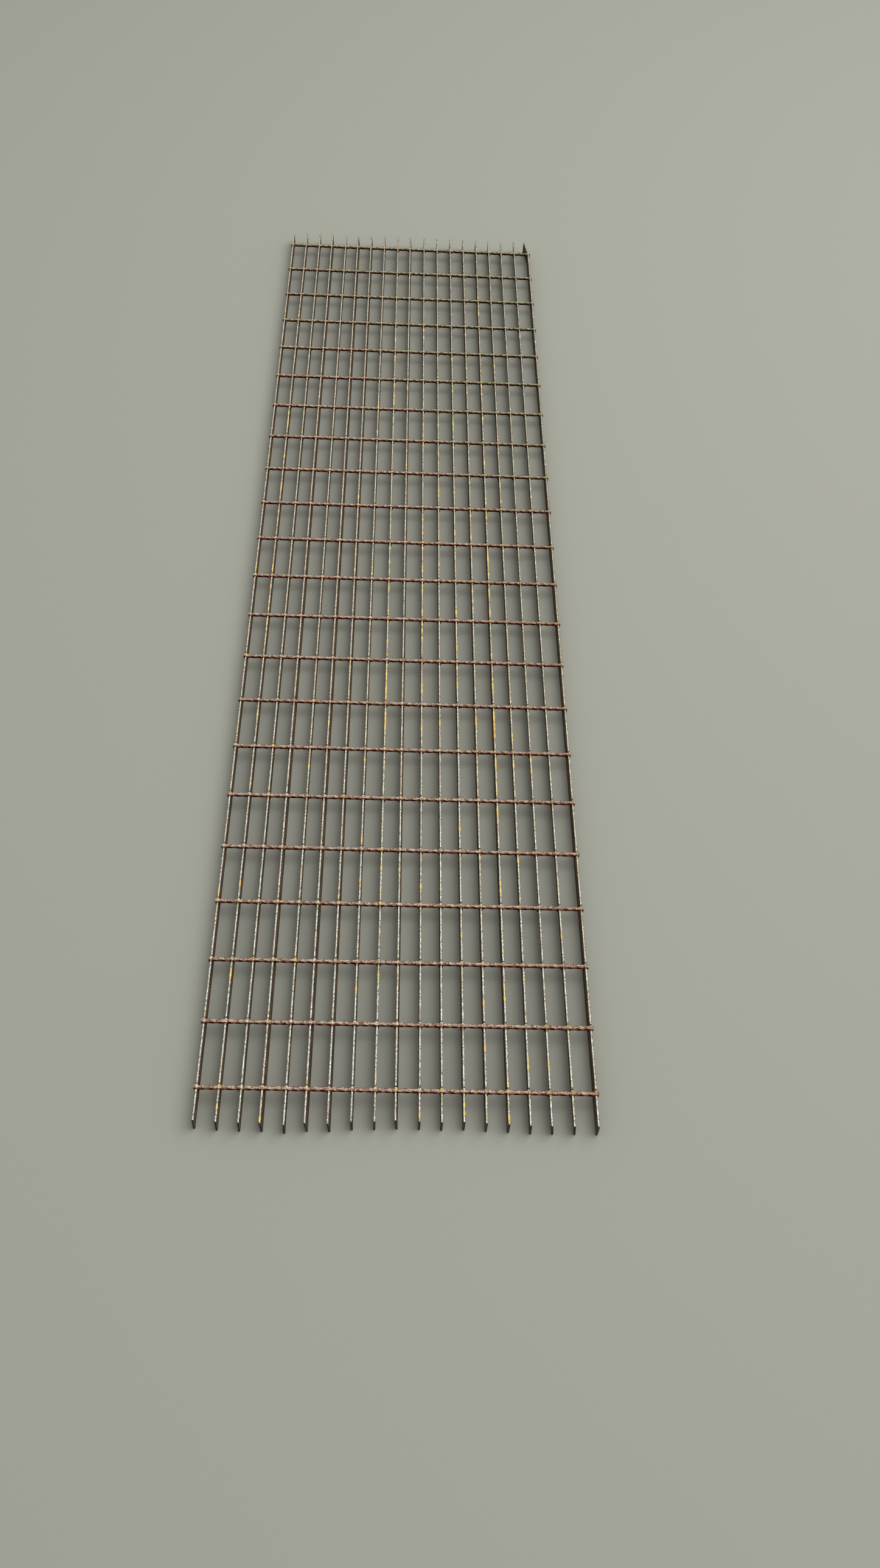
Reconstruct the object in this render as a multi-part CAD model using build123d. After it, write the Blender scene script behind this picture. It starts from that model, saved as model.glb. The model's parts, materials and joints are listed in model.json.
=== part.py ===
"""Welded steel bar grating panel, with its cross rods forged flush into the bearing bars.

X runs across the panel from left to right, Y along the bearing bars from the near end to the
far end, and Z up. The origin is under the middle of the panel, on the surface that it lies on.
All sizes are in millimetres.
"""

import os
from math import cos, pi, sin

from build123d import *

# Bearing bars: flat bars on edge, which carry the load along the panel
BAR_COUNT = 19
BAR_PITCH = 30.0
BAR_THICKNESS = 3.0
BAR_DEPTH = 25.0
NEAR_OVERHANG = 50.0  # from the first rod's centre line to the near end of a bar
FAR_OVERHANG = 45.0  # from the last rod's centre line to the far end of a bar

# Cross rods: square wire, twisted, then forged into the tops of the bars
ROD_COUNT = 22
ROD_PITCH = 100.0
ROD_SQUARE = 5.0
ROD_STUB = 2.5  # rod left standing past the outer faces of the outer bars
ROD_SIDES = 8  # flat sides of the round that the turning square fills

# Bars whose top stands to the left of their foot, and by how much
LEANING_BARS = {4: 1.9, 6: 2.6, 7: 2.2, 8: 1.1, 10: 2.3, 16: 1.2, 17: 2.7, 18: 2.4}

# Bars whose near end stands out past the others, or falls short of them, and by how much
UNEVEN_ENDS = {
    2: 2.0,
    3: 3.0,
    4: 3.0,
    5: 5.0,
    6: 1.5,
    7: 1.5,
    8: -1.5,
    9: -2.5,
    10: -4.0,
    11: -3.5,
    12: -3.0,
    13: -4.0,
    14: -2.5,
    15: -1.5,
}

# Bent corner: the far end of the last bar has been knocked in towards the panel. The last rod
# holds its top edge, and the foot gives way later than the top and then catches up.
BEND_MIDDLE = 31.0  # from the last rod's centre line to the section part of the way along
BEND_FOOT_AT_MIDDLE = 4.2
BEND_TOP_AT_MIDDLE = 5.3
BEND_AT_TIP = 7.8

# Sizes that follow
LONGEST_NEAR_OVERHANG = NEAR_OVERHANG + max(UNEVEN_ENDS.values())
PANEL_LENGTH = LONGEST_NEAR_OVERHANG + (ROD_COUNT - 1) * ROD_PITCH + FAR_OVERHANG
FIRST_ROD_Y = LONGEST_NEAR_OVERHANG - PANEL_LENGTH / 2
FAR_END_Y = PANEL_LENGTH / 2
BARS_WIDTH = (BAR_COUNT - 1) * BAR_PITCH + BAR_THICKNESS
ROD_LENGTH = BARS_WIDTH + 2 * ROD_STUB
ROD_RADIUS = ROD_SQUARE / 2**0.5  # reach of the square's corners
SIDE_ANGLE = 2 * pi / ROD_SIDES
FLAT_REACH = ROD_RADIUS * cos(SIDE_ANGLE / 2)  # from the rod's centre line to a flat side
FLAT_HALF = ROD_RADIUS * sin(SIDE_ANGLE / 2)  # half the width of a flat side
ROD_HEIGHT = BAR_DEPTH - FLAT_REACH  # the rod's top flat is level with the bars' top edges


def bar_x(number: int) -> float:
    """Centre of a bearing bar's foot, counted from 1 at the left."""
    return (number - (BAR_COUNT + 1) / 2) * BAR_PITCH


def near_end_y(number: int) -> float:
    """Near end of a bearing bar."""
    return FIRST_ROD_Y - NEAR_OVERHANG - UNEVEN_ENDS.get(number, 0.0)


def rod_y(number: int) -> float:
    """Centre line of a cross rod, counted from 1 at the near end."""
    return FIRST_ROD_Y + (number - 1) * ROD_PITCH


def rod_outline() -> Sketch:
    """Cross section of a rod about its centre line, with one flat side up."""
    return RegularPolygon(ROD_RADIUS, ROD_SIDES, rotation=180 / ROD_SIDES)


def seat_outline() -> Sketch:
    """Cross section of a rod seat: the rod's lower half, open straight up to the bar's top."""
    points = [
        (-FLAT_REACH, FLAT_REACH),
        (-FLAT_REACH, -FLAT_HALF),
        (-FLAT_HALF, -FLAT_REACH),
        (FLAT_HALF, -FLAT_REACH),
        (FLAT_REACH, -FLAT_HALF),
        (FLAT_REACH, FLAT_REACH),
    ]
    return Polygon(*points, align=None)


def across_panel(outline: Sketch, number: int) -> Part:
    """An outline run across the whole panel along a rod's centre line."""
    line = Plane((0, rod_y(number), ROD_HEIGHT), x_dir=(0, 1, 0), z_dir=(1, 0, 0))
    return extrude(line * outline, ROD_LENGTH / 2, both=True)


def flat_bar(number: int, far_y: float) -> Part:
    """A flat bar on edge from its near end to a place along the panel, with its own lean."""
    near_y = near_end_y(number)
    foot = Rectangle(BAR_THICKNESS, far_y - near_y)
    foot = Pos(bar_x(number), (near_y + far_y) / 2) * foot
    rise = Vector(-LEANING_BARS.get(number, 0.0), 0, BAR_DEPTH)
    return extrude(foot, rise.length, dir=rise)


def bent_section(y: float, foot_shift: float, top_shift: float) -> Face:
    """Cross section of the bent bar, its foot and top moved in towards the panel."""
    foot_x = bar_x(BAR_COUNT) - foot_shift
    top_x = bar_x(BAR_COUNT) - top_shift
    half = BAR_THICKNESS / 2
    corners = [
        (foot_x - half, y, 0),
        (foot_x + half, y, 0),
        (top_x + half, y, BAR_DEPTH),
        (top_x - half, y, BAR_DEPTH),
    ]
    return Face(Wire.make_polygon(corners))


def bent_bar() -> Part:
    """The last bar, straight up to the last rod and knocked in from there to its far end."""
    bend_y = rod_y(ROD_COUNT)
    bent = loft(
        [
            bent_section(bend_y, 0, 0),
            bent_section(bend_y + BEND_MIDDLE, BEND_FOOT_AT_MIDDLE, BEND_TOP_AT_MIDDLE),
            bent_section(FAR_END_Y, BEND_AT_TIP, BEND_AT_TIP),
        ],
        ruled=True,
    )
    return flat_bar(BAR_COUNT, bend_y) + bent


def bearing_bar(number: int, seats: list[Part]) -> Part:
    """One bearing bar with every rod seat pressed into its top edge."""
    if number == BAR_COUNT:
        return bent_bar() - seats
    return flat_bar(number, FAR_END_Y) - seats


def build_panel() -> dict[str, Part]:
    """Every piece of the panel by name."""
    seats = [across_panel(seat_outline(), number) for number in range(1, ROD_COUNT + 1)]
    pieces = {}
    for number in range(1, BAR_COUNT + 1):
        pieces[f"bearing_bar_{number:02d}"] = bearing_bar(number, seats)
    for number in range(1, ROD_COUNT + 1):
        pieces[f"cross_rod_{number:02d}"] = across_panel(rod_outline(), number)
    return pieces


os.makedirs("parts", exist_ok=True)
for name, piece in build_panel().items():
    export_step(piece, f"parts/{name}.step")
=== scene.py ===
"""Dresses the welded bar grating panel: rolled bars, twisted rods, weld metal and rust."""

import json
import logging
import math
import random
from collections.abc import Callable
from dataclasses import dataclass, field
from enum import Enum

import bmesh
import bpy
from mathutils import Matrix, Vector

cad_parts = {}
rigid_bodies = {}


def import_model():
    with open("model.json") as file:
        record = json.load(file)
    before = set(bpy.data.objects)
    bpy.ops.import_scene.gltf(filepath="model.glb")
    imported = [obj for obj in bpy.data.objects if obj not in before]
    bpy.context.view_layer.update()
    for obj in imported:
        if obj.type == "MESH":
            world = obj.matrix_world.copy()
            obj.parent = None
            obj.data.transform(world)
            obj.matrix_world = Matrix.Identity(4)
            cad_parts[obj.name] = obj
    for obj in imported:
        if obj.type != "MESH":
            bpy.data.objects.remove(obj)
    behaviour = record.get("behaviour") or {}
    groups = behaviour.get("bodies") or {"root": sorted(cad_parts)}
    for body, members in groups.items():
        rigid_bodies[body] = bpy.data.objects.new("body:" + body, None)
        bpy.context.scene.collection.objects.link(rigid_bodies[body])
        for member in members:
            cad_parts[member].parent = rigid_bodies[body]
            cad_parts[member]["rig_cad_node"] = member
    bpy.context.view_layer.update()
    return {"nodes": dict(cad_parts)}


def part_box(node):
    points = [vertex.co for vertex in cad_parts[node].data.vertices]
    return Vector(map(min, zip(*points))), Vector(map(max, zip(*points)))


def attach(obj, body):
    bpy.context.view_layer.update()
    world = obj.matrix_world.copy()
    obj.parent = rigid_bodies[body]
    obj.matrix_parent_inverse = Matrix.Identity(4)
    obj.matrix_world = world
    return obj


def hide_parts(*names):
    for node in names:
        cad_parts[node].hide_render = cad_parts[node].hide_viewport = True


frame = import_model()

LOG = logging.getLogger("grating")
MM = 0.001
BODY = "root"
LONG_EDGE = 20 * MM
ARRIS_LENGTH = 8 * MM
ARRIS_ANGLE = math.radians(30)

Piece = bpy.types.Object
Group = bpy.types.NodeTree
Socket = bpy.types.NodeSocket
Node = bpy.types.Node
Material = bpy.types.Material
Key = str | int
Wanted = Callable[..., bool]
Colour = tuple[float, float, float]
Triple = tuple[float, float, float]
Span = tuple[float, float]


class Slot(Enum):
    """The record's material slots."""

    BAR = "bearing_bar"
    ROD = "cross_rod"


class Element(Enum):
    """What an edit selects."""

    VERTEX = "VERT"
    EDGE = "EDGE"
    FACE = "FACE"


def nodes_named(word: str) -> list[str]:
    """The frame's nodes whose names hold a word, in order."""
    return sorted(name for name in frame["nodes"] if word in name)


def activate(piece: Piece) -> None:
    """Leaves only this piece selected, and active.

    Args:
        piece: The piece to select.
    """
    bpy.ops.object.select_all(action="DESELECT")
    piece.select_set(True)
    bpy.context.view_layer.objects.active = piece


def open_with(piece: Piece, element: Element, wanted: Wanted) -> None:
    """Opens a piece for editing with only the wanted elements selected.

    Args:
        piece: The piece to edit.
        element: The kind of element to select.
        wanted: Says of one element whether it is selected.
    """
    activate(piece)
    bpy.ops.object.mode_set(mode="EDIT")
    bpy.ops.mesh.select_mode(type=element.value)
    bpy.ops.mesh.select_all(action="DESELECT")
    form = bmesh.from_edit_mesh(piece.data)
    elements = {Element.VERTEX: form.verts, Element.EDGE: form.edges, Element.FACE: form.faces}
    for part in elements[element]:
        part.select_set(bool(wanted(part)))
    bmesh.update_edit_mesh(piece.data)


def close() -> None:
    """Leaves edit mode."""
    bpy.ops.object.mode_set(mode="OBJECT")


def everything(_: object) -> bool:
    """True for every element."""
    return True


def is_long(edge: bmesh.types.BMEdge) -> bool:
    """True for the edges that run from end to end of a span."""
    return edge.calc_length() > LONG_EDGE


def is_arris(edge: bmesh.types.BMEdge) -> bool:
    """True for the sharp edges that run along a bar or down its end."""
    return edge.calc_length() > ARRIS_LENGTH and edge.calc_face_angle(0.0) > ARRIS_ANGLE


def bevel(piece: Piece, wanted: Wanted, width: float, steps: int) -> None:
    """Bevels some of a piece's edges.

    Args:
        piece: The piece to bevel.
        wanted: Says of one edge whether it is bevelled.
        width: The bevel's width.
        steps: How many faces go across the bevel.
    """
    open_with(piece, Element.EDGE, wanted)
    bpy.ops.mesh.bevel(offset=width, segments=steps, affect="EDGES")
    close()


def divide(piece: Piece, wanted: Wanted, cuts: int) -> None:
    """Cuts up some of a piece's edges, and the faces beside them.

    Args:
        piece: The piece to cut up.
        wanted: Says of one edge whether it is cut.
        cuts: How many cuts go into each edge.
    """
    open_with(piece, Element.EDGE, wanted)
    bpy.ops.mesh.subdivide(number_cuts=cuts)
    close()


def flatten(piece: Piece, wanted: Wanted, height: float, share: float) -> None:
    """Presses some of a piece's vertices towards a level.

    Args:
        piece: The piece to press.
        wanted: Says of one vertex whether it is pressed.
        height: The level.
        share: How much of each vertex's distance from the level is left.
    """
    open_with(piece, Element.VERTEX, wanted)
    bpy.ops.transform.resize(value=(1, 1, share), center_override=(0, 0, height))
    close()


def smooth(piece: Piece, degrees: float) -> None:
    """Shades a piece smooth, except across its sharper edges."""
    activate(piece)
    bpy.ops.object.shade_smooth_by_angle(angle=math.radians(degrees))


def settle(piece: Piece) -> None:
    """Moves a piece's place, turn and scale into its mesh."""
    activate(piece)
    bpy.ops.object.transform_apply(location=True, rotation=True, scale=True)


def finish_with(piece: Piece, kind: str, **settings: object) -> None:
    """Adds a modifier to a piece and applies it.

    Args:
        piece: The piece that takes the modifier.
        kind: The modifier's type.
        settings: The modifier's own settings.
    """
    activate(piece)
    modifier = piece.modifiers.new(kind.lower(), kind)
    for name, value in settings.items():
        setattr(modifier, name, value)
    bpy.ops.object.modifier_apply(modifier=modifier.name)


def copy_of(piece: Piece, name: str) -> Piece:
    """A copy of a piece with its own mesh.

    Args:
        piece: The piece to copy.
        name: The copy's name.

    Returns:
        The copy, left selected and active.
    """
    activate(piece)
    bpy.ops.object.duplicate(linked=False)
    twin = bpy.context.active_object
    twin.name = name
    twin.data.name = name
    return twin


def join(pieces: list[Piece], name: str) -> Piece:
    """Several pieces joined into the first of them.

    Args:
        pieces: The pieces to join.
        name: The name of the joined piece.

    Returns:
        The joined piece.
    """
    activate(pieces[0])
    for piece in pieces:
        piece.select_set(True)
    bpy.ops.object.join()
    joined = bpy.context.active_object
    joined.name = name
    joined.data.name = name
    return joined


def dress(piece: Piece, material: Material) -> None:
    """Gives a finished piece its material and the body that it rides on.

    Args:
        piece: The finished piece.
        material: Its only material.
    """
    piece.data.materials.clear()
    piece.data.materials.append(material)
    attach(piece, BODY)
    LOG.info("%s: %d faces", piece.name, len(piece.data.polygons))


def roughen(piece: Piece, depth: float, grain: float) -> None:
    """Makes a surface slightly uneven, differently at every place on the panel.

    Args:
        piece: The piece to roughen.
        depth: Height from the lowest hollow to the highest bump.
        grain: Size of the bumps.
    """
    clouds = bpy.data.textures.new(piece.name + "_grain", "CLOUDS")
    clouds.noise_scale = grain
    finish_with(
        piece,
        "DISPLACE",
        texture=clouds,
        texture_coords="GLOBAL",
        strength=depth,
        mid_level=0.5,
    )
    bpy.data.textures.remove(clouds)


class NodeBoard:
    """One node tree, with short ways to add nodes and link them.

    The Mix node has sockets of one name for each kind of value, so its colour sockets go by number.
    """

    MIX_UNDER = 6
    MIX_OVER = 7
    MIX_RESULT = 2

    def __init__(self, tree: Group) -> None:
        """Starts on an existing tree."""
        self.tree = tree

    def add(self, kind: str, **values: object) -> Node:
        """Adds a node and sets its properties.

        Args:
            kind: The node's type, without its ShaderNode prefix.
            values: The node's properties.

        Returns:
            The new node.
        """
        node = self.tree.nodes.new("ShaderNode" + kind)
        for name, value in values.items():
            setattr(node, name, value)
        return node

    def feed(self, socket: Socket, value: object) -> None:
        """Links a socket into an input, or sets the input to a plain value.

        Args:
            socket: The input.
            value: The output to link, or the plain value.
        """
        if isinstance(value, Socket):
            self.tree.links.new(value, socket)
        else:
            socket.default_value = (*value, 1.0) if self._is_colour(socket, value) else value

    @staticmethod
    def _is_colour(socket: Socket, value: object) -> bool:
        """True for three numbers that go into a colour input."""
        return socket.type == "RGBA" and isinstance(value, tuple) and len(value) == 3

    def made(self, kind: str, output: Key, inputs: dict[Key, object], **values: object) -> Socket:
        """Adds a node, feeds its inputs and takes one of its outputs.

        Args:
            kind: The node's type, without its ShaderNode prefix.
            output: The output's name or number.
            inputs: What goes into each input, by its name or number.
            values: The node's properties.

        Returns:
            The output.
        """
        node = self.add(kind, **values)
        for socket, value in inputs.items():
            self.feed(node.inputs[socket], value)
        return node.outputs[output]

    def maths(self, operation: str, first: object, second: object = 0.0) -> Socket:
        """The result of one Math node."""
        return self.made("Math", 0, {0: first, 1: second}, operation=operation)

    def axis(self, vector: object, name: str) -> Socket:
        """A vector's number along one axis."""
        return self.made("SeparateXYZ", name, {0: vector})

    def noise(self, vector: object, scale: object, detail: float) -> Socket:
        """The height of a noise pattern, from 0 to 1."""
        return self.made("TexNoise", "Fac", {"Vector": vector, "Scale": scale, "Detail": detail})

    def between(self, value: object, low: object, high: object) -> Socket:
        """A mask that rises smoothly from 0 at low to 1 at high."""
        inputs = {"Value": value, "From Min": low, "From Max": high}
        return self.made("MapRange", "Result", inputs, interpolation_type="SMOOTHSTEP", clamp=True)

    def blend(self, mask: object, under: object, over: object) -> Socket:
        """One colour laid over another through a mask."""
        inputs = {"Factor": mask, self.MIX_UNDER: under, self.MIX_OVER: over}
        return self.made("Mix", self.MIX_RESULT, inputs, data_type="RGBA")

    def level(self, mask: object, under: float, over: float) -> Socket:
        """A value that goes from one level to another through a mask."""
        inputs = {"Value": mask, "To Min": under, "To Max": over}
        return self.made("MapRange", "Result", inputs, clamp=True)

    def faded(self, mask: object, share: float) -> Socket:
        """A mask brought down to a share of its strength."""
        return self.level(mask, 0.0, share)

    def stretched(self, vector: object, shares: Triple) -> Socket:
        """Coordinates scaled along each axis, so that a pattern is drawn out."""
        return self.made("VectorMath", 0, {0: vector, 1: shares}, operation="MULTIPLY")

    def place(self, group: Group, **values: object) -> Node:
        """Places a shared group and feeds its inputs.

        Args:
            group: The shared group.
            values: What goes into each input, its spaces written as underscores.

        Returns:
            The group's node.
        """
        node = self.add("Group", node_tree=group)
        for name, value in values.items():
            self.feed(node.inputs[name.replace("_", " ")], value)
        return node

    def mask(self, group: Group, **values: object) -> Socket:
        """The mask that a shared group puts out, with its inputs fed as place feeds them."""
        return self.place(group, **values).outputs["Mask"]


@dataclass
class SteelEffects:
    """The effects that the steel finishes share, each built once as a node group.

    The two grains say how many times finer the small pattern is than the large one.
    """

    edge_grain: float = 5.0
    edge_swing: float = 0.12
    grit_grain: float = 2.3
    pit_floor: float = 0.1
    pit_rim: float = 0.5
    pit_share: float = 0.6
    grit_share: float = 0.8
    hollow_low: float = 0.45
    hollow_high: float = 0.95
    blotches: Group = field(init=False)
    relief: Group = field(init=False)
    top_wear_and_painted_light: Group = field(init=False)
    facing_up: Group = field(init=False)
    along_panel: Group = field(init=False)
    nearest_of_row: Group = field(init=False)

    def __post_init__(self) -> None:
        """Builds every group."""
        self.blotches = self._blotches()
        self.relief = self._relief()
        self.top_wear_and_painted_light = self._top_wear_and_painted_light()
        self.facing_up = self._facing_up()
        self.along_panel = self._along_panel()
        self.nearest_of_row = self._nearest_of_row()

    @staticmethod
    def _new_group(
        name: str,
        inputs: dict[str, str],
        outputs: dict[str, str],
    ) -> tuple[Group, NodeBoard, Node, Node]:
        """A new group with its sockets.

        Args:
            name: The group's name.
            inputs: Each input's name and socket type.
            outputs: Each output's name and socket type.

        Returns:
            The group, its board, its input node and its output node.
        """
        group = bpy.data.node_groups.new(name, "ShaderNodeTree")
        for socket, kind in inputs.items():
            group.interface.new_socket(socket, in_out="INPUT", socket_type="NodeSocket" + kind)
        for socket, kind in outputs.items():
            group.interface.new_socket(socket, in_out="OUTPUT", socket_type="NodeSocket" + kind)
        entry = group.nodes.new("NodeGroupInput")
        leave = group.nodes.new("NodeGroupOutput")
        return group, NodeBoard(group), entry, leave

    def _blotches(self) -> Group:
        """Blotches with broken edges: rust, dirt or bare metal.

        Returns:
            The group.
        """
        group, board, entry, leave = self._new_group(
            "blotches",
            {"Vector": "Vector", "Scale": "Float", "Low": "Float", "High": "Float"},
            {"Mask": "Float"},
        )
        broad = board.noise(entry.outputs["Vector"], entry.outputs["Scale"], detail=6.0)
        finer = board.maths("MULTIPLY", entry.outputs["Scale"], self.edge_grain)
        fine = board.noise(entry.outputs["Vector"], finer, detail=3.0)
        broken = board.maths("ADD", broad, board.level(fine, -self.edge_swing, self.edge_swing))
        mask = board.between(broken, entry.outputs["Low"], entry.outputs["High"])
        board.feed(leave.inputs["Mask"], mask)
        return group

    def _relief(self) -> Group:
        """Pits and raised scale of weathered rolled steel, with a shade for the hollows.

        Returns:
            The group.
        """
        group, board, entry, leave = self._new_group(
            "weathered_relief",
            {"Vector": "Vector", "Pit Scale": "Float"},
            {"Height": "Float", "Hollow": "Float"},
        )
        cells = board.add("TexVoronoi", feature="SMOOTH_F1")
        board.feed(cells.inputs["Vector"], entry.outputs["Vector"])
        board.feed(cells.inputs["Scale"], entry.outputs["Pit Scale"])
        pits = board.between(cells.outputs["Distance"], self.pit_floor, self.pit_rim)
        pits = board.maths("MULTIPLY", pits, self.pit_share)
        grit_scale = board.maths("MULTIPLY", entry.outputs["Pit Scale"], self.grit_grain)
        grit = board.noise(entry.outputs["Vector"], grit_scale, detail=5.0)
        height = board.maths("ADD", pits, board.maths("MULTIPLY", grit, self.grit_share))
        raised = board.between(height, self.hollow_low, self.hollow_high)
        board.feed(leave.inputs["Height"], height)
        board.feed(leave.inputs["Hollow"], board.maths("SUBTRACT", 1.0, raised))
        return group

    def _top_wear_and_painted_light(self) -> Group:
        """The skin just under the panel's top face, rubbed by feet and by stacking on the bars; on
        the rods and weld metal it sets painted light above and painted shade below.

        Returns:
            The group.
        """
        group, board, entry, leave = self._new_group(
            "top_wear_and_painted_light", {"Low": "Float", "High": "Float"}, {"Mask": "Float"}
        )
        height = board.axis(board.add("TexCoord").outputs["Object"], "Z")
        mask = board.between(height, entry.outputs["Low"], entry.outputs["High"])
        board.feed(leave.inputs["Mask"], mask)
        return group

    def _facing_up(self) -> Group:
        """What faces up, with a border that grains of rust break.

        Returns:
            The group.
        """
        group, board, entry, leave = self._new_group(
            "facing_up",
            {
                "Vector": "Vector",
                "Normal": "Vector",
                "Grain Scale": "Float",
                "Break": "Float",
                "Low": "Float",
                "High": "Float",
            },
            {"Mask": "Float"},
        )
        grains = board.noise(entry.outputs["Vector"], entry.outputs["Grain Scale"], detail=4.0)
        swing = board.maths("MULTIPLY", board.maths("SUBTRACT", grains, 0.5), entry.outputs["Break"])
        facing = board.maths("ADD", board.axis(entry.outputs["Normal"], "Z"), swing)
        mask = board.between(facing, entry.outputs["Low"], entry.outputs["High"])
        board.feed(leave.inputs["Mask"], mask)
        return group

    def _along_panel(self) -> Group:
        """Weathering that changes from the near end to the far end, on a slant across the panel.

        Returns:
            The group.
        """
        group, board, entry, leave = self._new_group(
            "along_panel", {"Slant": "Float", "Low": "Float", "High": "Float"}, {"Mask": "Float"}
        )
        place = board.add("TexCoord").outputs["Object"]
        across = board.maths("MULTIPLY", board.axis(place, "X"), entry.outputs["Slant"])
        reach = board.maths("ADD", board.axis(place, "Y"), across)
        mask = board.between(reach, entry.outputs["Low"], entry.outputs["High"])
        board.feed(leave.inputs["Mask"], mask)
        return group

    def _nearest_of_row(self) -> Group:
        """How far a place lies from the nearest of a row of evenly spaced pieces.

        Returns:
            The group.
        """
        group, board, entry, leave = self._new_group(
            "nearest_of_row",
            {"Place": "Float", "Start": "Float", "Pitch": "Float"},
            {"Distance": "Float"},
        )
        past_start = board.maths("SUBTRACT", entry.outputs["Place"], entry.outputs["Start"])
        steps = board.maths("DIVIDE", past_start, entry.outputs["Pitch"])
        share = board.maths("PINGPONG", steps, 0.5)
        board.feed(leave.inputs["Distance"], board.maths("MULTIPLY", share, entry.outputs["Pitch"]))
        return group


def new_material(name: str) -> tuple[Material, NodeBoard, Node]:
    """A node material.

    Args:
        name: The material's name.

    Returns:
        The material, a board on its tree and its Principled shader.
    """
    material = bpy.data.materials.new(name)
    material.use_nodes = True
    shader = material.node_tree.nodes["Principled BSDF"]
    return material, NodeBoard(material.node_tree), shader


def bump(board: NodeBoard, height: Socket, depth: float) -> Socket:
    """A normal from a height of 0 to 1 that stands for a real depth.

    Args:
        board: The board of the material.
        height: The height.
        depth: The depth that a height of 1 stands for, in metres.

    Returns:
        The normal.
    """
    node = board.add("Bump")
    node.inputs["Strength"].default_value = 1.0
    node.inputs["Distance"].default_value = depth
    board.feed(node.inputs["Height"], height)
    return node.outputs["Normal"]


@dataclass(frozen=True)
class BarFinish:
    """Hot-rolled flat bar: brown scaled flanks, cut ends painted dark as shade, and top edges rubbed
    pale.

    The top edges are brightest at the near end and turn duller and greener towards the far right,
    and towards the right they are painted darker as shade.
    """

    scale: Colour = (0.058, 0.044, 0.029)
    brown: Colour = (0.125, 0.082, 0.044)
    orange: Colour = (0.330, 0.150, 0.050)
    cut: Colour = (0.028, 0.028, 0.020)
    handled: Colour = (0.860, 0.920, 0.830)
    rubbed: Colour = (0.845, 0.740, 0.550)
    weathered: Colour = (0.420, 0.490, 0.400)
    shaded: Colour = (0.270, 0.300, 0.230)
    dulled: Colour = (0.330, 0.250, 0.155)
    bare: Colour = (0.940, 0.960, 0.870)
    golden: Colour = (0.900, 0.700, 0.270)
    shine: float = 0.25
    polish: float = 0.3
    rough: float = 0.82
    rough_top: float = 0.48
    top_low: float = 24.0 * MM
    top_high: float = 24.5 * MM
    end_low: float = 0.6
    end_high: float = 0.9
    pit_depth: float = 0.12 * MM

    def make(self, effects: SteelEffects) -> Material:
        """The finish as a material.

        Args:
            effects: The shared groups.

        Returns:
            The material.
        """
        material, board, shader = new_material("rolled_bar")
        place = board.add("TexCoord").outputs["Object"]
        along = board.stretched(place, (1.0, 0.25, 1.0))
        streaky = board.stretched(place, (1.0, 0.55, 1.0))
        browned = board.mask(effects.blotches, Vector=along, Scale=90.0, Low=0.42, High=0.60)
        rusted = board.mask(effects.blotches, Vector=along, Scale=230.0, Low=0.60, High=0.70)
        patched = board.mask(effects.blotches, Vector=streaky, Scale=150.0, Low=0.49, High=0.58)
        dull = board.mask(effects.blotches, Vector=streaky, Scale=520.0, Low=0.47, High=0.60)
        bright = board.mask(effects.blotches, Vector=streaky, Scale=700.0, Low=0.54, High=0.62)
        gold = board.mask(effects.blotches, Vector=streaky, Scale=270.0, Low=0.63, High=0.68)
        past_near = board.mask(effects.along_panel, Slant=0.0, Low=-0.95, High=-0.25)
        to_far = board.mask(effects.along_panel, Slant=2.5, Low=0.0, High=1.25)
        to_right = board.mask(effects.along_panel, Slant=10.0, Low=0.0, High=3.0)
        relief = board.place(effects.relief, Vector=place, Pit_Scale=900.0)
        normal = board.add("NewGeometry").outputs["Normal"]
        facing_along = board.maths("ABSOLUTE", board.axis(normal, "Y"))
        painted_end_shade = board.between(facing_along, self.end_low, self.end_high)
        near_top = board.mask(effects.top_wear_and_painted_light, Low=self.top_low, High=self.top_high)
        facing_up = board.mask(
            effects.facing_up,
            Vector=place,
            Normal=normal,
            Grain_Scale=600.0,
            Break=0.35,
            Low=0.89,
            High=0.99,
        )
        top = board.maths("MULTIPLY", near_top, facing_up)

        flank = board.blend(browned, self.scale, self.brown)
        flank = board.blend(rusted, flank, self.orange)
        # End faces, and the other faces that face along the panel, are painted dark as shade.
        flank = board.blend(board.faded(painted_end_shade, share=0.7), flank, self.cut)
        edge = board.blend(past_near, self.handled, self.rubbed)
        edge = board.blend(to_far, edge, self.weathered)
        # Towards the right the top edges are painted darker as shade.
        edge = board.blend(board.faded(to_right, share=0.3), edge, self.shaded)
        edge = board.blend(board.faded(patched, share=0.55), edge, self.dulled)
        edge = board.blend(board.faded(browned, share=0.22), edge, self.dulled)
        edge = board.blend(dull, edge, self.dulled)
        edge = board.blend(bright, edge, self.bare)
        edge = board.blend(gold, edge, self.golden)
        edge = board.blend(board.faded(relief.outputs["Hollow"], share=0.55), edge, self.brown)
        colour = board.blend(top, flank, edge)

        polished = board.maths("MULTIPLY", top, board.level(dull, under=1.0, over=0.2))
        board.feed(shader.inputs["Base Color"], colour)
        board.feed(shader.inputs["Metallic"], board.faded(polished, self.polish))
        board.feed(shader.inputs["Roughness"], board.level(polished, self.rough, self.rough_top))
        shader.inputs["Specular IOR Level"].default_value = self.shine
        board.feed(shader.inputs["Normal"], bump(board, relief.outputs["Height"], self.pit_depth))
        return material


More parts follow.
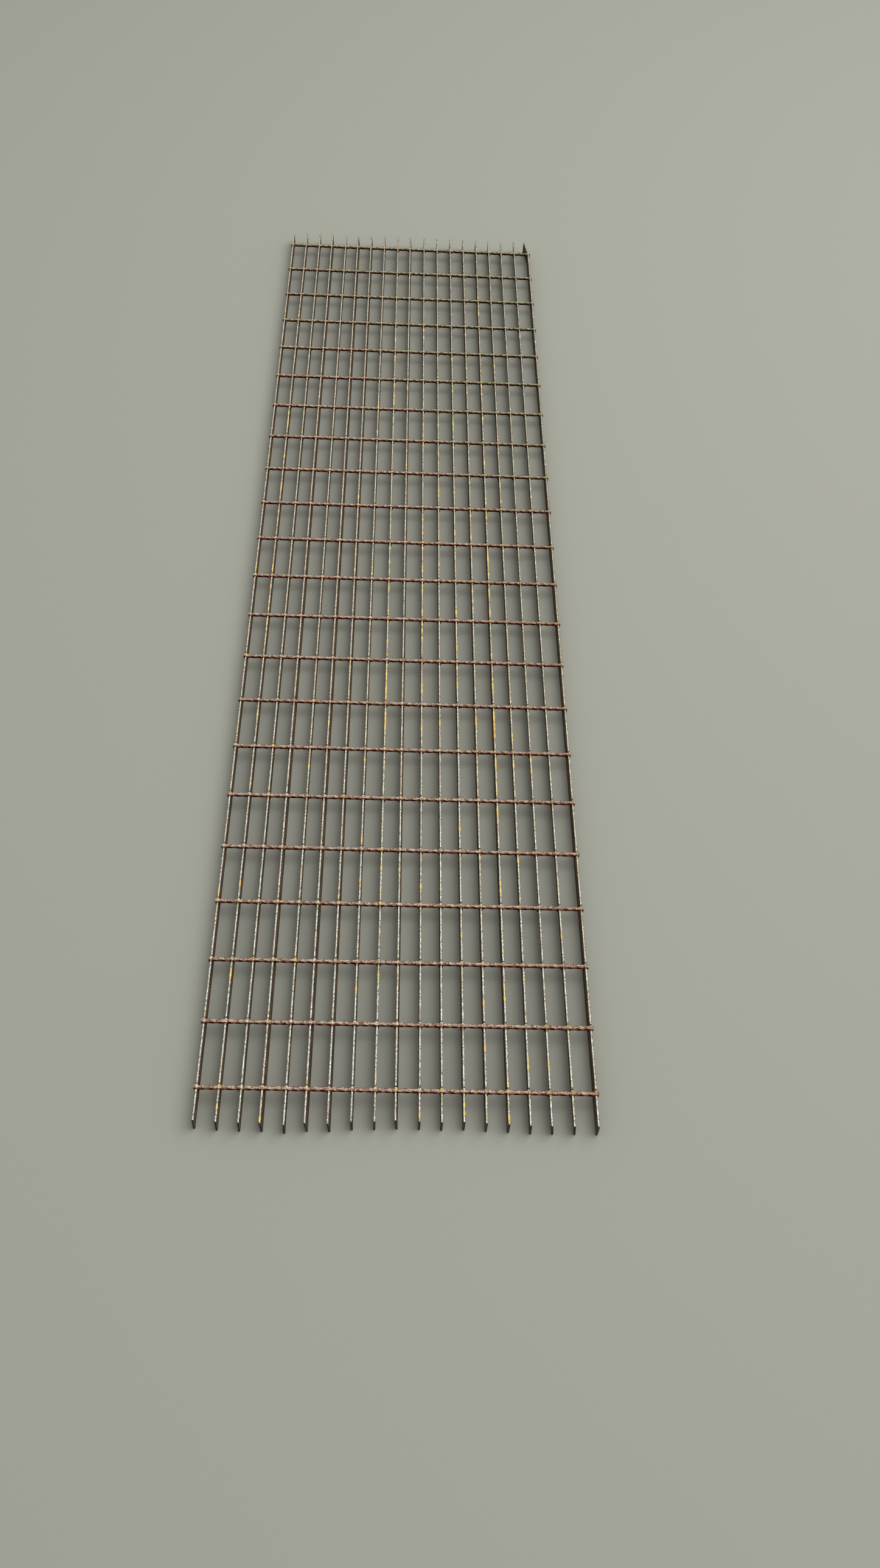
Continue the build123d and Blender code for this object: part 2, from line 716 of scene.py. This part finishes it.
@dataclass(frozen=True)
class RodFinish:
    """Twisted rod: red-brown rust, painted lighter on its upper side as light and dark underneath as
    shade, pale where it faces up, partly rubbed wear and partly a painted highlight, and orange at
    the bars.

    The rust turns brown, and the pale crest greener, towards the far end.
    """

    # Near black: dark rust in blotches and hollows, and on the rod's lower side also painted shade.
    dark: Colour = (0.022, 0.003, 0.001)
    red_brown: Colour = (0.105, 0.016, 0.005)
    brown: Colour = (0.047, 0.025, 0.010)
    painted_lit_rust: Colour = (0.130, 0.026, 0.011)
    rubbed: Colour = (0.665, 0.545, 0.425)
    ruddy: Colour = (0.580, 0.410, 0.290)
    weathered: Colour = (0.500, 0.520, 0.320)
    orange: Colour = (0.600, 0.330, 0.110)
    shine: float = 0.0
    polish: float = 0.15
    rough: float = 0.8
    rough_top: float = 0.55
    bar_pitch: float = 30.0 * MM
    dust_clear: float = 1.5 * MM
    dust_reach: float = 6.6 * MM
    upper_low: float = 21.0 * MM
    upper_high: float = 25.0 * MM
    lit_low: float = 0.20
    lit_high: float = 0.54
    crest_low: float = 0.50
    crest_high: float = 1.06
    pit_depth: float = 0.16 * MM

    def make(self, effects: SteelEffects) -> Material:
        """The finish as a material.

        Args:
            effects: The shared groups.

        Returns:
            The material.
        """
        material, board, shader = new_material("twisted_rod")
        place = board.add("TexCoord").outputs["Object"]
        across = board.axis(place, "X")
        from_bar = board.place(effects.nearest_of_row, Place=across, Start=0.0, Pitch=self.bar_pitch)
        near_bar = board.between(from_bar.outputs["Distance"], self.dust_reach, self.dust_clear)
        reddened = board.mask(effects.blotches, Vector=place, Scale=240.0, Low=0.38, High=0.56)
        dusted = board.mask(effects.blotches, Vector=place, Scale=420.0, Low=0.53, High=0.62)
        worn = board.mask(effects.blotches, Vector=place, Scale=380.0, Low=0.45, High=0.53)
        to_far = board.mask(effects.along_panel, Slant=1.5, Low=0.0, High=1.0)
        to_right = board.mask(effects.along_panel, Slant=10.0, Low=0.0, High=3.0)
        relief = board.place(effects.relief, Vector=place, Pit_Scale=800.0)
        high_up = board.mask(effects.top_wear_and_painted_light, Low=self.upper_low, High=self.upper_high)
        facing_up = board.mask(
            effects.facing_up,
            Vector=place,
            Normal=board.add("NewGeometry").outputs["Normal"],
            Grain_Scale=650.0,
            Break=1.2,
            Low=0.10,
            High=1.10,
        )
        # Height and how the surface faces up together stand for how light falls on the rod.
        upper = board.maths("ADD", board.faded(high_up, share=0.5), board.faded(facing_up, share=0.5))
        painted_lit_side = board.between(upper, self.lit_low, self.lit_high)
        top = board.between(upper, self.crest_low, self.crest_high)

        rust = board.blend(to_far, self.red_brown, self.brown)
        colour = board.blend(reddened, self.dark, rust)
        # The lit side takes a lighter rust as painted light; below it the rust stays dark, partly
        # dark rust blotches and partly painted shade.
        colour = board.blend(painted_lit_side, colour, board.blend(to_far, self.painted_lit_rust, self.brown))
        # The pale crest is partly rubbed wear and partly a painted highlight.
        rubbed = board.maths("MULTIPLY", top, board.level(worn, under=0.25, over=1.0))
        crest = board.blend(to_right, self.rubbed, self.ruddy)
        crest = board.blend(to_far, crest, self.weathered)
        colour = board.blend(rubbed, colour, crest)
        dust = board.maths("MULTIPLY", dusted, board.level(near_bar, under=0.15, over=0.75))
        dust = board.maths("MULTIPLY", dust, painted_lit_side)
        colour = board.blend(dust, colour, self.orange)
        colour = board.blend(board.faded(relief.outputs["Hollow"], share=0.4), colour, self.dark)

        board.feed(shader.inputs["Base Color"], colour)
        board.feed(shader.inputs["Metallic"], board.faded(rubbed, self.polish))
        board.feed(shader.inputs["Roughness"], board.level(rubbed, self.rough, self.rough_top))
        shader.inputs["Specular IOR Level"].default_value = self.shine
        board.feed(shader.inputs["Normal"], bump(board, relief.outputs["Height"], self.pit_depth))
        return material


@dataclass(frozen=True)
class WeldFinish:
    """Forged weld metal: dark brown below, partly scale and partly painted shade, and a pale crown
    with golden and orange rust, painted darker towards the right as shade.

    The crown's skin is told by its distance along the panel from a line just beyond each rod, so
    the crown's near shoulder stays dark as painted shade.
    """

    scale: Colour = (0.045, 0.016, 0.007)
    brown: Colour = (0.110, 0.050, 0.023)
    orange: Colour = (0.350, 0.185, 0.062)
    golden: Colour = (0.800, 0.560, 0.180)
    handled: Colour = (0.760, 0.730, 0.600)
    rubbed: Colour = (0.790, 0.700, 0.510)
    painted_right_shade: Colour = (0.330, 0.240, 0.135)
    weathered: Colour = (0.600, 0.510, 0.220)
    shine: float = 0.05
    rough: float = 0.85
    rough_top: float = 0.65
    top_low: float = 24.0 * MM
    top_high: float = 24.5 * MM
    crown_shift: float = 1.2 * MM
    crown_full: float = 3.2 * MM
    crown_end: float = 4.1 * MM
    pit_depth: float = 0.2 * MM

    def make(self, effects: SteelEffects, rod_places: list[float]) -> Material:
        """The finish as a material.

        Args:
            effects: The shared groups.
            rod_places: The rods' places along the panel, evenly spaced.

        Returns:
            The material.
        """
        material, board, shader = new_material("weld_metal")
        place = board.add("TexCoord").outputs["Object"]
        from_rod = board.place(
            effects.nearest_of_row,
            Place=board.axis(place, "Y"),
            Start=rod_places[0] + self.crown_shift,
            Pitch=rod_places[1] - rod_places[0],
        )
        # The pale window sits beyond the rod by the crown shift, so the crown's near shoulder is left
        # dark as painted shade.
        crowned = board.between(from_rod.outputs["Distance"], self.crown_end, self.crown_full)
        rusted = board.mask(effects.blotches, Vector=place, Scale=240.0, Low=0.42, High=0.60)
        patchy = board.mask(effects.blotches, Vector=place, Scale=450.0, Low=0.47, High=0.53)
        gold = board.mask(effects.blotches, Vector=place, Scale=31.0, Low=0.53, High=0.62)
        past_near = board.mask(effects.along_panel, Slant=0.0, Low=-0.95, High=-0.25)
        to_far = board.mask(effects.along_panel, Slant=1.0, Low=0.1, High=1.0)
        to_right = board.mask(effects.along_panel, Slant=100.0, Low=0.0, High=27.0)
        relief = board.place(effects.relief, Vector=place, Pit_Scale=700.0)
        near_top = board.mask(effects.top_wear_and_painted_light, Low=self.top_low, High=self.top_high)
        facing_up = board.mask(
            effects.facing_up,
            Vector=place,
            Normal=board.add("NewGeometry").outputs["Normal"],
            Grain_Scale=600.0,
            Break=0.6,
            Low=0.45,
            High=0.85,
        )
        # Low and steep parts of the weld keep the dark skin: partly scale, partly painted shade.
        top = board.maths("MULTIPLY", near_top, facing_up)
        top = board.maths("MULTIPLY", top, board.level(crowned, under=0.12, over=1.0))

        skin = board.blend(rusted, self.scale, self.brown)
        worn = board.blend(past_near, self.handled, self.rubbed)
        crown = board.blend(patchy, worn, self.orange)
        crown = board.blend(board.faded(gold, share=0.85), crown, self.golden)
        # Towards the right the crown is painted darker as shade.
        crown = board.blend(board.faded(to_right, share=0.75), crown, self.painted_right_shade)
        crown = board.blend(board.faded(to_far, share=0.45), crown, self.weathered)
        colour = board.blend(top, skin, crown)
        colour = board.blend(board.faded(relief.outputs["Hollow"], share=0.4), colour, self.brown)

        board.feed(shader.inputs["Base Color"], colour)
        board.feed(shader.inputs["Roughness"], board.level(top, self.rough, self.rough_top))
        shader.inputs["Specular IOR Level"].default_value = self.shine
        board.feed(shader.inputs["Normal"], bump(board, relief.outputs["Height"], self.pit_depth))
        return material


@dataclass(frozen=True)
class ScabFinish:
    """Fresh loose rust: golden, going to orange."""

    golden: Colour = (0.860, 0.660, 0.200)
    orange: Colour = (0.700, 0.410, 0.100)
    rough: float = 0.95
    rough_deep: float = 0.85
    pit_depth: float = 0.15 * MM

    def make(self, effects: SteelEffects) -> Material:
        """The finish as a material.

        Args:
            effects: The shared groups.

        Returns:
            The material.
        """
        material, board, shader = new_material("fresh_rust")
        place = board.add("TexCoord").outputs["Object"]
        deep = board.mask(effects.blotches, Vector=place, Scale=260.0, Low=0.45, High=0.65)
        relief = board.place(effects.relief, Vector=place, Pit_Scale=1100.0)
        colour = board.blend(deep, self.golden, self.orange)
        colour = board.blend(board.faded(relief.outputs["Hollow"], share=0.35), colour, self.orange)
        board.feed(shader.inputs["Base Color"], colour)
        board.feed(shader.inputs["Roughness"], board.level(deep, self.rough, self.rough_deep))
        board.feed(shader.inputs["Normal"], bump(board, relief.outputs["Height"], self.pit_depth))
        return material


@dataclass
class BearingBars:
    """The flat bars on edge, with the slightly round arrises and the uneven skin of rolled bar."""

    arris: float = 0.6 * MM
    cuts: int = 20
    unevenness: float = 0.22 * MM
    grain: float = 9.0 * MM
    sharp_angle: float = 40.0
    weld_distance: float = 0.001 * MM
    flat_angle: float = 0.5
    top_edge: float = 24.9 * MM
    names: list[str] = field(default_factory=lambda: nodes_named("bearing_bar"))

    def top_x(self, name: str) -> float:
        """The middle of a bar's top edge across the panel, away from the bent end.

        Args:
            name: The bar's node.

        Returns:
            The place across the panel.
        """
        corners = [vertex.co for vertex in frame["nodes"][name].data.vertices]
        tops = [corner.x for corner in corners if corner.z > self.top_edge and corner.y < 0]
        return (min(tops) + max(tops)) / 2

    def build(self, material: Material) -> list[Piece]:
        """Models every bar over its fixed solid.

        Args:
            material: The bars' finish.

        Returns:
            The bars from left to right.
        """
        return [self._bar(name, material) for name in self.names]

    def _bar(self, name: str, material: Material) -> Piece:
        """One bar, with its arrises rounded and its edges cut up finely enough to be uneven.

        Args:
            name: The bar's node.
            material: The bars' finish.

        Returns:
            The bar.
        """
        bar = copy_of(frame["nodes"][name], name.replace("bearing_bar", "rolled_bar"))
        del bar["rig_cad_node"]
        open_with(bar, Element.FACE, everything)
        bpy.ops.mesh.remove_doubles(threshold=self.weld_distance)
        bpy.ops.mesh.dissolve_limited(angle_limit=math.radians(self.flat_angle))
        close()
        bevel(bar, is_arris, self.arris, steps=2)
        divide(bar, is_long, self.cuts)
        roughen(bar, self.unevenness, self.grain)
        smooth(bar, self.sharp_angle)
        dress(bar, material)
        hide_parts(name)
        return bar


@dataclass
class CrossRods:
    """The twisted square rods, pressed flat where they cross the bars."""

    square: float = 5.6 * MM
    turn_length: float = 50.0 * MM
    corner: float = 1.5 * MM
    rings: int = 219
    flat_half: float = 3.6 * MM
    flat_height: float = 25.1 * MM
    unevenness: float = 0.25 * MM
    grain: float = 3.0 * MM
    sharp_angle: float = 40.0
    seed: int = 22
    names: list[str] = field(default_factory=lambda: nodes_named("cross_rod"))

    def centre(self, name: str) -> Vector:
        """The middle of a rod."""
        low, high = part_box(name)
        return (low + high) / 2

    def build(self, bar_tops: list[float], material: Material) -> list[Piece]:
        """Models every rod over its fixed solid.

        Args:
            bar_tops: Where the bars' tops cross the rods.
            material: The rods' finish.

        Returns:
            The rods from the near end to the far end.
        """
        master = self._master()
        chance = random.Random(self.seed)
        rods = [self._rod(master, name, bar_tops, chance) for name in self.names]
        for rod, name in zip(rods, self.names):
            dress(rod, material)
            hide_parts(name)
        bpy.data.objects.remove(master)
        return rods

    def _master(self) -> Piece:
        """A square rod with eased corners, twisted along its length.

        Returns:
            The rod, in the middle of the frame.
        """
        low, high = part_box(self.names[0])
        length = high.x - low.x
        bpy.ops.mesh.primitive_cube_add(size=1.0, scale=(length, self.square, self.square))
        rod = bpy.context.active_object
        settle(rod)
        bevel(rod, is_long, self.corner, steps=2)
        divide(rod, is_long, self.rings)
        twist = length / self.turn_length * math.tau
        finish_with(rod, "SIMPLE_DEFORM", deform_method="TWIST", deform_axis="X", angle=twist)
        return rod

    def _rod(
        self,
        master: Piece,
        name: str,
        bar_tops: list[float],
        chance: random.Random,
    ) -> Piece:
        """One rod in its place, turned by chance and pressed flat at each bar.

        Args:
            master: The twisted rod to copy.
            name: The rod's node.
            bar_tops: Where the bars' tops cross the rods.
            chance: What the turn is drawn from.

        Returns:
            The rod.
        """
        rod = copy_of(master, name.replace("cross_rod", "twisted_rod"))
        rod.rotation_euler.x = chance.uniform(0, math.tau)
        rod.location = self.centre(name)
        settle(rod)
        roughen(rod, self.unevenness, self.grain)

        def proud(vertex: bmesh.types.BMVert) -> bool:
            """True where the rod stands above the bars at a crossing."""
            over_bar = any(abs(vertex.co.x - top) < self.flat_half for top in bar_tops)
            return over_bar and vertex.co.z > self.flat_height

        flatten(rod, proud, self.flat_height, share=0)
        smooth(rod, self.sharp_angle)
        return rod


@dataclass
class WeldMetal:
    """The metal squeezed out round each rod where it was forged into a bar.

    A crown lies over the rod and fills its seat up to the bar's top, and a swelling of flash fills
    out below it, on both faces of the bar and under the rod. The reach across the bar, the length
    along it and the depth of each are taken from its middle outwards.
    """

    crown_reach: float = 1.9 * MM
    crown_length: float = 4.3 * MM
    crown_depth: float = 1.2 * MM
    crown_rise: float = 2.5 * MM
    crown_ease: float = 0.9 * MM
    crown_cuts: int = 2
    flash_reach: float = 4.2 * MM
    flash_length: float = 4.8 * MM
    flash_depth: float = 5.2 * MM
    flash_drop: float = 2.9 * MM
    sides: int = 8
    rings: int = 5
    flat_height: float = 25.12 * MM
    flat_share: float = 0.15
    unevenness: float = 0.6 * MM
    grain: float = 2.6 * MM
    sharp_angle: float = 50.0

    def build(self, bar_tops: list[float], rods: CrossRods, material: Material) -> Piece:
        """Models the weld metal of the whole panel.

        Args:
            bar_tops: Where the bars' tops cross the rods.
            rods: The rods, for their places.
            material: The weld metal's finish.

        Returns:
            The weld metal as one piece.
        """
        joint = join([self._crown(), self._flash()], "weld_pattern")
        row = self._row(joint, bar_tops)
        rows = []
        for name in rods.names:
            rows.append(copy_of(row, "weld_row"))
            rows[-1].location = (0, rods.centre(name).y, rods.centre(name).z)
            settle(rows[-1])
        welds = join(rows, "weld_metal")
        bpy.data.objects.remove(joint)
        bpy.data.objects.remove(row)
        roughen(welds, self.unevenness, self.grain)
        flatten(
            welds,
            lambda vertex: vertex.co.z > self.flat_height,
            self.flat_height,
            self.flat_share,
        )
        smooth(welds, self.sharp_angle)
        dress(welds, material)
        return welds

    def _crown(self) -> Piece:
        """A block with eased edges that fills the seat over the rod.

        Returns:
            The crown, with the rod's middle at the origin.
        """
        bpy.ops.mesh.primitive_cube_add(
            size=2.0,
            scale=(self.crown_reach, self.crown_length, self.crown_depth),
            location=(0, 0, self.crown_rise),
        )
        crown = bpy.context.active_object
        settle(crown)
        bevel(crown, everything, self.crown_ease, steps=1)
        divide(crown, lambda edge: edge.calc_length() > self.crown_length, self.crown_cuts)
        return crown

    def _flash(self) -> Piece:
        """The rounded swelling below the crown.

        Returns:
            The flash, with the rod's middle at the origin.
        """
        bpy.ops.mesh.primitive_uv_sphere_add(
            segments=self.sides,
            ring_count=self.rings,
            radius=1.0,
            scale=(self.flash_reach, self.flash_length, self.flash_depth),
            location=(0, 0, -self.flash_drop),
        )
        flash = bpy.context.active_object
        settle(flash)
        return flash

    def _row(self, joint: Piece, bar_tops: list[float]) -> Piece:
        """One welded joint on every bar, along one rod.

        Args:
            joint: The welded joint to copy.
            bar_tops: Where the bars' tops cross the rod.

        Returns:
            The row as one piece.
        """
        joints = []
        for top in bar_tops:
            joints.append(copy_of(joint, "weld_joint"))
            joints[-1].location.x = top
            settle(joints[-1])
        return join(joints, "weld_row_pattern")


@dataclass(frozen=True)
class RustStreak:
    """A long streak of fresh rust on a bar's top edge.

    The bar is its number from the left, and near is where the streak's near end lies along the
    panel.
    """

    bar: int
    near: float
    length: float


@dataclass
class RustScabs:
    """The crusts of golden rust on the bars' top edges.

    The long ones lie where they are seen. The short ones are spread by chance between the rods,
    short_reach being how far past a rod they may lie, and most of them are on the rusty bars, whose
    numbers have their weights beside them.
    """

    long_streaks: tuple[RustStreak, ...] = (
        RustStreak(2, -1.079, 0.009),
        RustStreak(2, -0.884, 0.024),
        RustStreak(2, 0.187, 0.030),
        RustStreak(2, 0.281, 0.020),
        RustStreak(2, 0.380, 0.033),
        RustStreak(4, -1.097, 0.012),
        RustStreak(5, -0.495, 0.018),
        RustStreak(8, 0.450, 0.019),
        RustStreak(9, -0.876, 0.016),
        RustStreak(9, -0.407, 0.043),
        RustStreak(9, -0.332, 0.035),
        RustStreak(11, -1.083, 0.008),
        RustStreak(11, -0.407, 0.019),
        RustStreak(11, -0.311, 0.018),
        RustStreak(13, -1.082, 0.008),
        RustStreak(13, -1.070, 0.009),
        RustStreak(13, -0.220, 0.019),
        RustStreak(13, -0.134, 0.018),
        RustStreak(14, -0.987, 0.015),
        RustStreak(14, -0.398, 0.030),
        RustStreak(15, -1.093, 0.018),
        RustStreak(15, -1.037, 0.008),
        RustStreak(15, -0.583, 0.028),
        RustStreak(15, -0.482, 0.018),
        RustStreak(15, -0.386, 0.032),
        RustStreak(15, -0.134, 0.021),
        RustStreak(15, -0.012, 0.058),
        RustStreak(16, -1.013, 0.012),
        RustStreak(16, -0.998, 0.007),
    )
    rusty_bars: dict[int, int] = field(
        default_factory=lambda: {2: 3, 8: 1, 9: 4, 11: 2, 12: 1, 13: 2, 14: 2, 15: 4, 16: 1}
    )
    rusty_share: float = 0.7
    short_count: int = 230
    short_lengths: Span = (4 * MM, 15 * MM)
    short_reach: Span = (6 * MM, 94 * MM)
    width: float = 2.8 * MM
    thickness: float = 0.28 * MM
    top: float = 24.95 * MM
    sides: int = 8
    rings: int = 6
    unevenness: float = 0.5 * MM
    grain: float = 2.2 * MM
    sharp_angle: float = 60.0
    seed: int = 7

    def build(
        self,
        bar_tops: list[float],
        rod_places: list[float],
        material: Material,
    ) -> Piece:
        """Models every scab of fresh rust.

        Args:
            bar_tops: The middle of each bar's top edge.
            rod_places: The rods' places along the panel, which the scabs keep clear of.
            material: The finish of fresh rust.

        Returns:
            The scabs as one piece.
        """
        scab = self._scab()
        chance = random.Random(self.seed)
        copies = [self._laid(scab, bar_tops[s.bar - 1], s.near, s.length) for s in self.long_streaks]
        bars, weights = zip(*self.rusty_bars.items())
        first, last = self.short_reach
        for _ in range(self.short_count):
            span = int(chance.triangular(0, len(rod_places) - 1))
            length = chance.uniform(*self.short_lengths)
            near = rod_places[span] + chance.uniform(first, last - length)
            rusty = bar_tops[chance.choices(bars, weights)[0] - 1]
            x = rusty if chance.random() < self.rusty_share else chance.choice(bar_tops)
            copies.append(self._laid(scab, x, near, length))
        scabs = join(copies, "fresh_rust_scabs")
        bpy.data.objects.remove(scab)
        roughen(scabs, self.unevenness, self.grain)
        smooth(scabs, self.sharp_angle)
        dress(scabs, material)
        return scabs

    def _scab(self) -> Piece:
        """A round crust of unit length, to be stretched and flattened.

        Returns:
            The crust, at the origin.
        """
        bpy.ops.mesh.primitive_uv_sphere_add(
            segments=self.sides, ring_count=self.rings, radius=0.5, rotation=(math.pi / 2, 0, 0)
        )
        scab = bpy.context.active_object
        settle(scab)
        return scab

    def _laid(self, scab: Piece, x: float, near: float, length: float) -> Piece:
        """One scab stretched along its bar.

        Args:
            scab: The pattern.
            x: The middle of the bar's top edge.
            near: The streak's near end along the panel.
            length: The streak's length.

        Returns:
            The scab in its place.
        """
        laid = copy_of(scab, "scab")
        laid.scale = (self.width, length, 2 * self.thickness)
        laid.location = (x, near + length / 2, self.top)
        settle(laid)
        return laid


@dataclass
class Studio:
    """The plain floor, the soft light and the camera.

    The camera's turn is in degrees, its lens and film in millimetres.
    """

    floor_colour: Colour = (0.348, 0.348, 0.292)
    floor_roughness: float = 0.9
    floor_size: float = 60.0
    sky_colour: Colour = (0.98, 0.99, 1.0)
    sky_strength: float = 0.6
    lamp_size: float = 5.5
    lamp_power: float = 244.0
    lamp_place: Triple = (2.6, 0.9, 5.2)
    camera_place: Triple = (-0.0289, -1.8858, 1.7426)
    camera_turn: Triple = (38.561, -2.757, -0.249)
    lens: float = 31.737
    film: float = 36.0

    def build(self) -> None:
        """Sets up floor, light and camera."""
        self._floor()
        self._sky()
        self._lamp()
        self._camera()
        bpy.context.scene.view_settings.view_transform = "Standard"

    def _floor(self) -> None:
        """A pale plain floor that the panel lies on."""
        bpy.ops.mesh.primitive_plane_add(size=self.floor_size)
        floor = bpy.context.active_object
        floor.name = "floor"
        material, _, shader = new_material("pale_floor")
        shader.inputs["Base Color"].default_value = (*self.floor_colour, 1.0)
        shader.inputs["Roughness"].default_value = self.floor_roughness
        floor.data.materials.append(material)

    def _sky(self) -> None:
        """Even light from all round."""
        world = bpy.data.worlds.new("studio")
        world.use_nodes = True
        background = world.node_tree.nodes["Background"]
        background.inputs["Color"].default_value = (*self.sky_colour, 1.0)
        background.inputs["Strength"].default_value = self.sky_strength
        bpy.context.scene.world = world

    def _lamp(self) -> None:
        """A large soft lamp high to the panel's right, towards its far end."""
        bpy.ops.object.light_add(type="AREA", location=self.lamp_place)
        lamp = bpy.context.active_object
        lamp.data.shape = "SQUARE"
        lamp.data.size = self.lamp_size
        lamp.data.energy = self.lamp_power
        lamp.rotation_euler = (-Vector(self.lamp_place)).to_track_quat("-Z", "Y").to_euler()

    def _camera(self) -> None:
        """The camera, held at a person's height beyond the near end."""
        turn = tuple(math.radians(angle) for angle in self.camera_turn)
        bpy.ops.object.camera_add(location=self.camera_place, rotation=turn)
        camera = bpy.context.active_object
        camera.data.sensor_width = self.film
        camera.data.lens = self.lens
        bpy.context.scene.camera = camera


def main() -> None:
    """Builds the panel's pieces in order, then the studio."""
    logging.basicConfig(level=logging.INFO, format="%(name)s %(message)s")
    effects = SteelEffects()
    bars = BearingBars()
    rods = CrossRods()
    bar_tops = [bars.top_x(name) for name in bars.names]
    rod_places = [rods.centre(name).y for name in rods.names]
    bars.build(BarFinish().make(effects))
    rods.build(bar_tops, RodFinish().make(effects))
    WeldMetal().build(bar_tops, rods, WeldFinish().make(effects, rod_places))
    RustScabs().build(bar_tops, rod_places, ScabFinish().make(effects))
    Studio().build()
    LOG.info("studio: floor, sky, lamp and camera")


if __name__ == "__main__":
    main()
